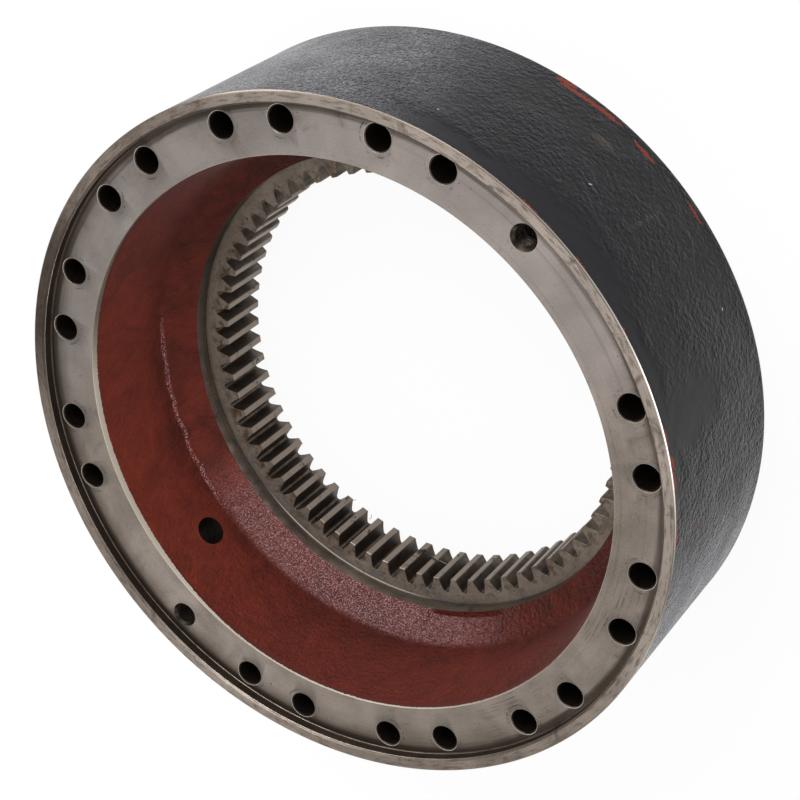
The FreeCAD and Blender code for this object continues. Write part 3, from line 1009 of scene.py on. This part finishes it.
def makeCut(name):
    d = cutIron[name]
    material, add, shader, places = newFinish(name + "Iron")
    stretched = add('VectorMath', {
        "operation": 'MULTIPLY', 0: places["point"], 1: [1 / size for size in d["cell"]]})
    lines = add('TexNoise', {"Vector": stretched, "Scale": 1.0, "Detail": d["detail"]})
    cell, detail = d["cloud"]
    clouds = add('TexNoise', {"Vector": places["point"], "Scale": 1 / cell, "Detail": detail})
    blend = add('Math', {"operation": 'MULTIPLY_ADD', 0: lines, 1: d["share"], 2: clouds})
    start, full, least = d["span"]
    blend = add('MapRange', {"Value": blend, "From Min": start, "From Max": full, "To Min": least})
    if "tips" in d:
        start, full = d["tips"]
        land = add('MapRange', {
            "interpolation_type": 'SMOOTHSTEP', "Value": places["radius"], "From Min": start,
            "From Max": full})
        blend = add('Math', {"operation": 'MULTIPLY_ADD', 0: land, 1: -0.75, 2: blend, "use_clamp": True})
    colour = add('Mix', {"data_type": 'RGBA', 0: blend, 6: linear(d["clean"]), 7: linear(d["oiled"])})
    if "stain" in d:
        colour = add('Mix', {
            "data_type": 'RGBA', 0: stainNoise(add, places, 8, 0.58, 0.72), 6: colour,
            7: linear(d["stain"])})
    low, high = d["roughness"]
    gloss = add('MapRange', {"Value": blend, "To Min": low, "To Max": high})
    bump = add('Bump', {"Height": lines, "Strength": 1.0, "Distance": d["relief"] / 1000})
    wire(shader, {"Base Color": colour, "Roughness": gloss, "Normal": bump, "Metallic": 1.0})
    return material


def softStain(name):
    return layer(turned[name]["stain"], 0.6, stain=(18, 0.54, 0.7))


rimSpan = (casting["rimRadius"] - 0.5, casting["rimRadius"] - 0.62)

finishes = {
    "blackEnamel": makeEnamel(),
    "flange": makeTurned("flange", [
        # lit from different sides, so cooler, warmer and darker by direction
        layer("#7d7875", 0.5, (96, 80, 20)), layer("#aca29c", 0.3, (44, 32, 14)),
        layer("#675e55", 0.4, (-90, 24, 14)), layer("#675e55", 0.3, (-32, 34, 16)),
        layer("#675e55", 0.4, (180, 14, 12)),
        layer(turned["flange"]["stain"], 0.45, stain=(26, 0.56, 0.72)),
        holeRings,
        # darker rings of the facing cut: the rings are real, but they are painted only on the side where
        # light along them would show them, so that spread is painted shade
        layer("#5b524a", 0.34, (12, 50, 22), streaks=(500.0, 2.6, 3.0, 0.6, 0.5, 0.7)),
        # painted shade: darker toward the lip on one side, standing for the lip's shadow and its dark
        # reflection
        layer("#453c34", 0.85, (-150, 75, 35), radius=('SMOOTHSTEP', 209.0, 227.0)),
        # dark arcs left by a worn tool
        layer("#443c35", 0.85, (-62, 38, 18), stain=(26, 0.46, 0.62),
              streaks=(30.0, 0.55, 1.0, 0.5, 0.52, 0.66)),
        # painted shade in the corner under the lip
        flangeCornerShade,
        layer("#2e2722", stain=(1.5, 0.665, 0.70))]),
    "lip": makeTurned("lip", [
        # painted light: the first two layers make the lip lighter on two sides
        layer("#a99e94", 0.5, (25, 70, 20)), layer("#a99e94", 0.5, (-128, 12, 10)), softStain("lip"),
        # smears along the turning, and one stretch that is black with old oil
        layer("#4f443b", 0.6, streaks=(8.0, 1.7, 4.0, 0.6, 0.48, 0.68)),
        layer("#352d26", 0.78, (150, 10, 14))]),
    "lipWall": makeTurned("lipWall", [softStain("lipWall")]),
    # painted highlight: lighter on one side, standing for light caught by the chamfer; olive with old oil on
    # the other
    "mouthEdge": makeTurned("mouthEdge", [
        softStain("mouthEdge"), layer("#cfc6b8", 0.5, (-112, 42, 18)),
        layer("#cabfb0", 0.8, (-168, 32, 12)), layer("#47402f", 0.7, (136, 18, 12))], mouthPaint),
    "holeEdge": makeTurned("holeEdge"),
    # painted highlight: the outer half of the rim's chamfer is coloured bright as a highlight line, and
    # painted shade darkens it on two sides where no highlight falls
    "rimEdge": makeTurned("rimEdge", [
        layer("#7d736a", 0.95, radius=('LINEAR', *rimSpan)), layer("#5f554c", 0.92, (135, 98, 14)),
        layer("#5f554c", 0.92, (-102, 86, 8))]),
    "gearFace": makeTurned("gearFace", [
        # painted shade: the face is darker over a wide side
        layer("#5d5145", 0.5, (36, 112, 18)), softStain("gearFace"),
        # smooth blue-grey patches where the face rubbed on its neighbour
        layer("#6f6d73", 0.6, (-116, 50, 14), stain=(15, 0.52, 0.6), radius=('LINEAR', 158.0, 160.0)),
        # dried coolant in small brown spots, a painted highlight along the outer edge on one side, oil round
        # the tooth roots, and pits
        layer("#4d4031", 0.4, stain=(2.8, 0.48, 0.68)),
        layer("#fbf6ee", 0.9, (-126, 20, 8), radius=('LINEAR', 165.3, 165.5)),
        layer("#4f3d28", stain=(7, 0.46, 0.66), radius=('LINEAR', 165.0, 157.0)),
        layer("#1b1714", stain=(2.0, 0.64, 0.67))]),
    # painted shade: the register is darker on all but one side
    "register": makeTurned("register", [softStain("register"), layer("#3b332d", 0.75, (38, 116, 14))]),
    "backFace": makeTurned("backFace", [softStain("backFace")]),
    "redPrimer": makePrimer(),
    **{name: makeCut(name) for name in cutIron},
}
for finish in finishes.values():
    ring.data.materials.append(finish)
slotOf = {name: k for k, name in enumerate(finishes)}
near = 0.01      # mm, more than rounding moves a flat face


def finishOf(centre, normal):
    # by the place and direction of a face; the bare numbers are slack in mm, wider where the cast skin waves
    x, y, z = centre * 1000
    radius = math.hypot(x, y)
    c = casting
    flange = c["height"] - c["recessDepth"]
    level = abs(normal.z) > 0.999
    outward = normal.x * x + normal.y * y > 0
    if radius > 229 and z < c["height"] - c["rimChamfer"] and outward and radius > skinRadius(z) - 2.2:
        return "blackEnamel"
    if z > c["height"] - c["rimChamfer"] - near:
        return "rimEdge" if radius > c["rimRadius"] - 1.1 and not level else "lip"
    if level and z < near:
        return "backFace"
    if level and abs(z - flange) < near:
        return "flange"
    if z > flange + c["footRound"] + 0.2 and radius > c["recessRadius"] - 0.1:
        edge = c["height"] - c["lipChamfer"]
        return "holeEdge" if abs(z - edge) < 0.4 and not level else "lip" if z > edge else "lipWall"
    if z > flange and radius > c["recessRadius"] - 1.2:
        return "lip" if 0.35 < normal.z < 0.75 else "lipWall"
    if level and abs(z - c["faceWidth"]) < near:
        return "gearFace"
    if z < c["faceWidth"] + near and radius < 158.8:
        return "cutTeeth"
    underMouth = flange - c["mouthChamfer"][1]
    if c["registerTop"] - 0.4 < z < underMouth and c["registerRadius"] + 0.3 < radius < boreRadius(z) + 1.0:
        return "redPrimer"
    if abs(radius - c["registerRadius"]) < 0.7 and z < c["registerTop"] + 0.1:
        return "register" if radius < c["registerRadius"] + 0.1 else "lipWall"
    if z > underMouth - near and radius < c["mouthRadius"] + 0.4:
        return "mouthEdge"
    offTap = min(math.dist((x, y), spot) for spot in tappedSpots)
    if offTap < tapped["mouthRadius"] + 0.3:
        crest = abs(offTap - tapped["coreRadius"]) < 0.12 and abs(normal.z) < 0.2
        return "holeEdge" if offTap > tapped["mouthRadius"] - 0.35 else "thread" if crest else "threadOil"
    if z > flange - holes["wornEdge"] / 2 - near and radius > c["mouthRadius"] + 1:
        return "holeEdge"
    return "drilled"


tappedSpots = [tuple(tapped["circle"] * wave(math.radians(turn)) for wave in (math.cos, math.sin))
               for turn in tapped["turns"]]


def shadeRing():
    for face in ring.data.polygons:
        face.material_index = slotOf[finishOf(face.center, face.normal)]
    only(ring)
    bpy.ops.object.shade_smooth_by_angle(angle=math.radians(30))
    # the edges of the chamfers that are too shallow for that angle are kept crisp
    flange = casting["height"] - casting["recessDepth"]
    mouthFoot = flange - casting["mouthChamfer"][1]
    setMode('EDIT')
    bpy.ops.mesh.select_mode(type='EDGE')
    bpy.ops.mesh.select_all(action='DESELECT')
    setMode('OBJECT')
    places = [vertex.co for vertex in ring.data.vertices]
    for edge in ring.data.edges:
        ends = [places[k] for k in edge.vertices]
        edge.select = all(abs(p.z * 1000 - mouthFoot) < 0.02 and p.xy.length * 1000 < 192 for p in ends)
    setMode('EDIT')
    bpy.ops.mesh.mark_sharp()
    setMode('OBJECT')


shadeRing()
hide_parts("ring_gear")
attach(ring, "root")
print("stage: finishes assigned")


# Burrs: two hairs of iron at the back ends of the teeth, and a curl of swarf caught between two of them

burrs = {
    "thickness": 0.32,
    # turn, radius and height of the points that each follows
    "hairs": [[(-134.9, 149.0, 0.9), (-134.2, 148.8, 0.7), (-133.8, 148.2, 0.6), (-133.7, 147.2, 0.6)],
              [(-127.8, 149.6, 0.5), (-127.5, 151.2, 0.6), (-127.5, 152.8, 0.6), (-127.8, 154.4, 0.8)]],
    "curl": [(-105.5, 148.3, 15.6), (-104.4, 147.3, 16.9), (-103.2, 147.6, 18.4), (-102.0, 147.4, 19.2),
             (-100.7, 147.6, 19.8), (-99.4, 148.2, 20.6)],
    "curlWidth": 0.95,
}


def makeBurr(name, places, thickness):
    drawChain(name, [around(radius, turn, height) for turn, radius, height in places])
    setMode('OBJECT')
    bpy.ops.object.convert(target='CURVE')
    curve = bpy.context.object.data
    curve.bevel_depth = thickness / 2000
    curve.bevel_resolution = 1
    curve.use_fill_caps = True
    bpy.ops.object.convert(target='MESH')
    burr = bpy.context.object
    setMode('EDIT')
    tidyMesh(1e-6)
    burr.data.materials.clear()
    return burr


def makeBurrs():
    b = burrs
    pieces = [makeBurr("hair", hair, b["thickness"]) for hair in b["hairs"]]
    pieces.append(makeBurr("curl", b["curl"], b["curlWidth"]))
    swarf = joinAll(pieces, "swarf")
    swarf.data.materials.append(finishes["cutTeeth"])
    bpy.ops.object.shade_smooth_by_angle(angle=math.radians(50))
    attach(swarf, "root")


makeBurrs()
print("stage: burrs made")


# Studio: pale floor, soft lamps and the photograph's camera

studio = {
    "floorColour": "#fafafa", "floorSize": 12.0, "backdropLift": 0.93,
    "cameraAt": (0.79635198, 0.47412463, 1.1616052),
    "cameraTurn": (-27.96893224, 29.97473134, -15.78693183),
    "lens": 98.0852569648812, "worldStrength": 0.45,
}

lamps = {
    "overhead": {"azimuth": 82, "elevation": 40, "distance": 1.7, "size": 0.9, "power": 17},
    "front": {"azimuth": 215, "elevation": 58, "distance": 2.0, "size": 1.6, "power": 12},
    "side": {"azimuth": -16, "elevation": 32, "distance": 1.9, "size": 0.9, "power": 7},
    "grazeLeft": {"azimuth": 116, "elevation": 13, "distance": 1.6, "size": 0.6, "power": 10},
    "grazeRight": {"azimuth": -70, "elevation": 13, "distance": 1.6, "size": 0.6, "power": 5},
}


def makeFloor():
    bpy.ops.object.select_all(action='DESELECT')
    bpy.ops.mesh.primitive_plane_add(size=studio["floorSize"], location=(0, 0, 0))
    floor = bpy.context.object
    floor.name = "floor"
    material = bpy.data.materials.new("paleFloor")
    material.use_nodes = True
    tree = material.node_tree
    tree.nodes.clear()
    add = partial(addNode, tree)
    path = add('LightPath', {}).node
    seen = add('Math', {
        "operation": 'MAXIMUM', 0: path.outputs["Is Camera Ray"], 1: path.outputs["Is Glossy Ray"]})
    seen = add('Math', {"operation": 'MAXIMUM', 0: seen, 1: path.outputs["Is Transmission Ray"]})
    glow = add('Emission', {"Color": linear("#ffffff"), "Strength": 1.0})
    matt = add('BsdfDiffuse', {"Color": linear(studio["floorColour"])})
    share = add('Math', {"operation": 'MULTIPLY', 0: seen, 1: studio["backdropLift"]})
    mixed = add('MixShader', {0: share, 1: matt, 2: glow})
    add('OutputMaterial', {"Surface": mixed})
    floor.data.materials.append(material)


def makeWorld():
    world = bpy.data.worlds.new("studioWorld")
    world.use_nodes = True
    tree = world.node_tree
    tree.nodes.clear()
    add = partial(addNode, tree)
    path = add('LightPath', {}).node
    strength = add('Mix', {
        "data_type": 'FLOAT', 0: path.outputs["Is Camera Ray"], 2: studio["worldStrength"], 3: 1.0})
    sky = add('Background', {"Color": linear("#ffffff"), "Strength": strength})
    add('OutputWorld', {"Surface": sky})
    bpy.context.scene.world = world


def makeLamps():
    target = mm(0, 0, casting["height"] / 2)
    for name, lamp in lamps.items():
        level, rise = (lamp["distance"] * wave(math.radians(lamp["elevation"]))
                       for wave in (math.cos, math.sin))
        azimuth = math.radians(lamp["azimuth"])
        away = Vector((level * math.cos(azimuth), level * math.sin(azimuth), rise))
        bpy.ops.object.light_add(type='AREA', location=target + away)
        light = bpy.context.object
        light.name = name + "Lamp"
        light.data.shape = 'SQUARE'
        light.data.size = lamp["size"]
        light.data.energy = lamp["power"]
        light.rotation_euler = away.to_track_quat('Z', 'Y').to_euler()


def makeCamera():
    turn = [math.radians(v) for v in studio["cameraTurn"]]
    bpy.ops.object.camera_add(location=studio["cameraAt"], rotation=turn)
    camera = bpy.context.object
    camera.data.sensor_width = 36
    camera.data.lens = studio["lens"]
    bpy.context.scene.camera = camera


makeFloor()
makeWorld()
makeLamps()
makeCamera()
bpy.context.scene.view_settings.view_transform = 'Standard'
print("stage: studio ready")
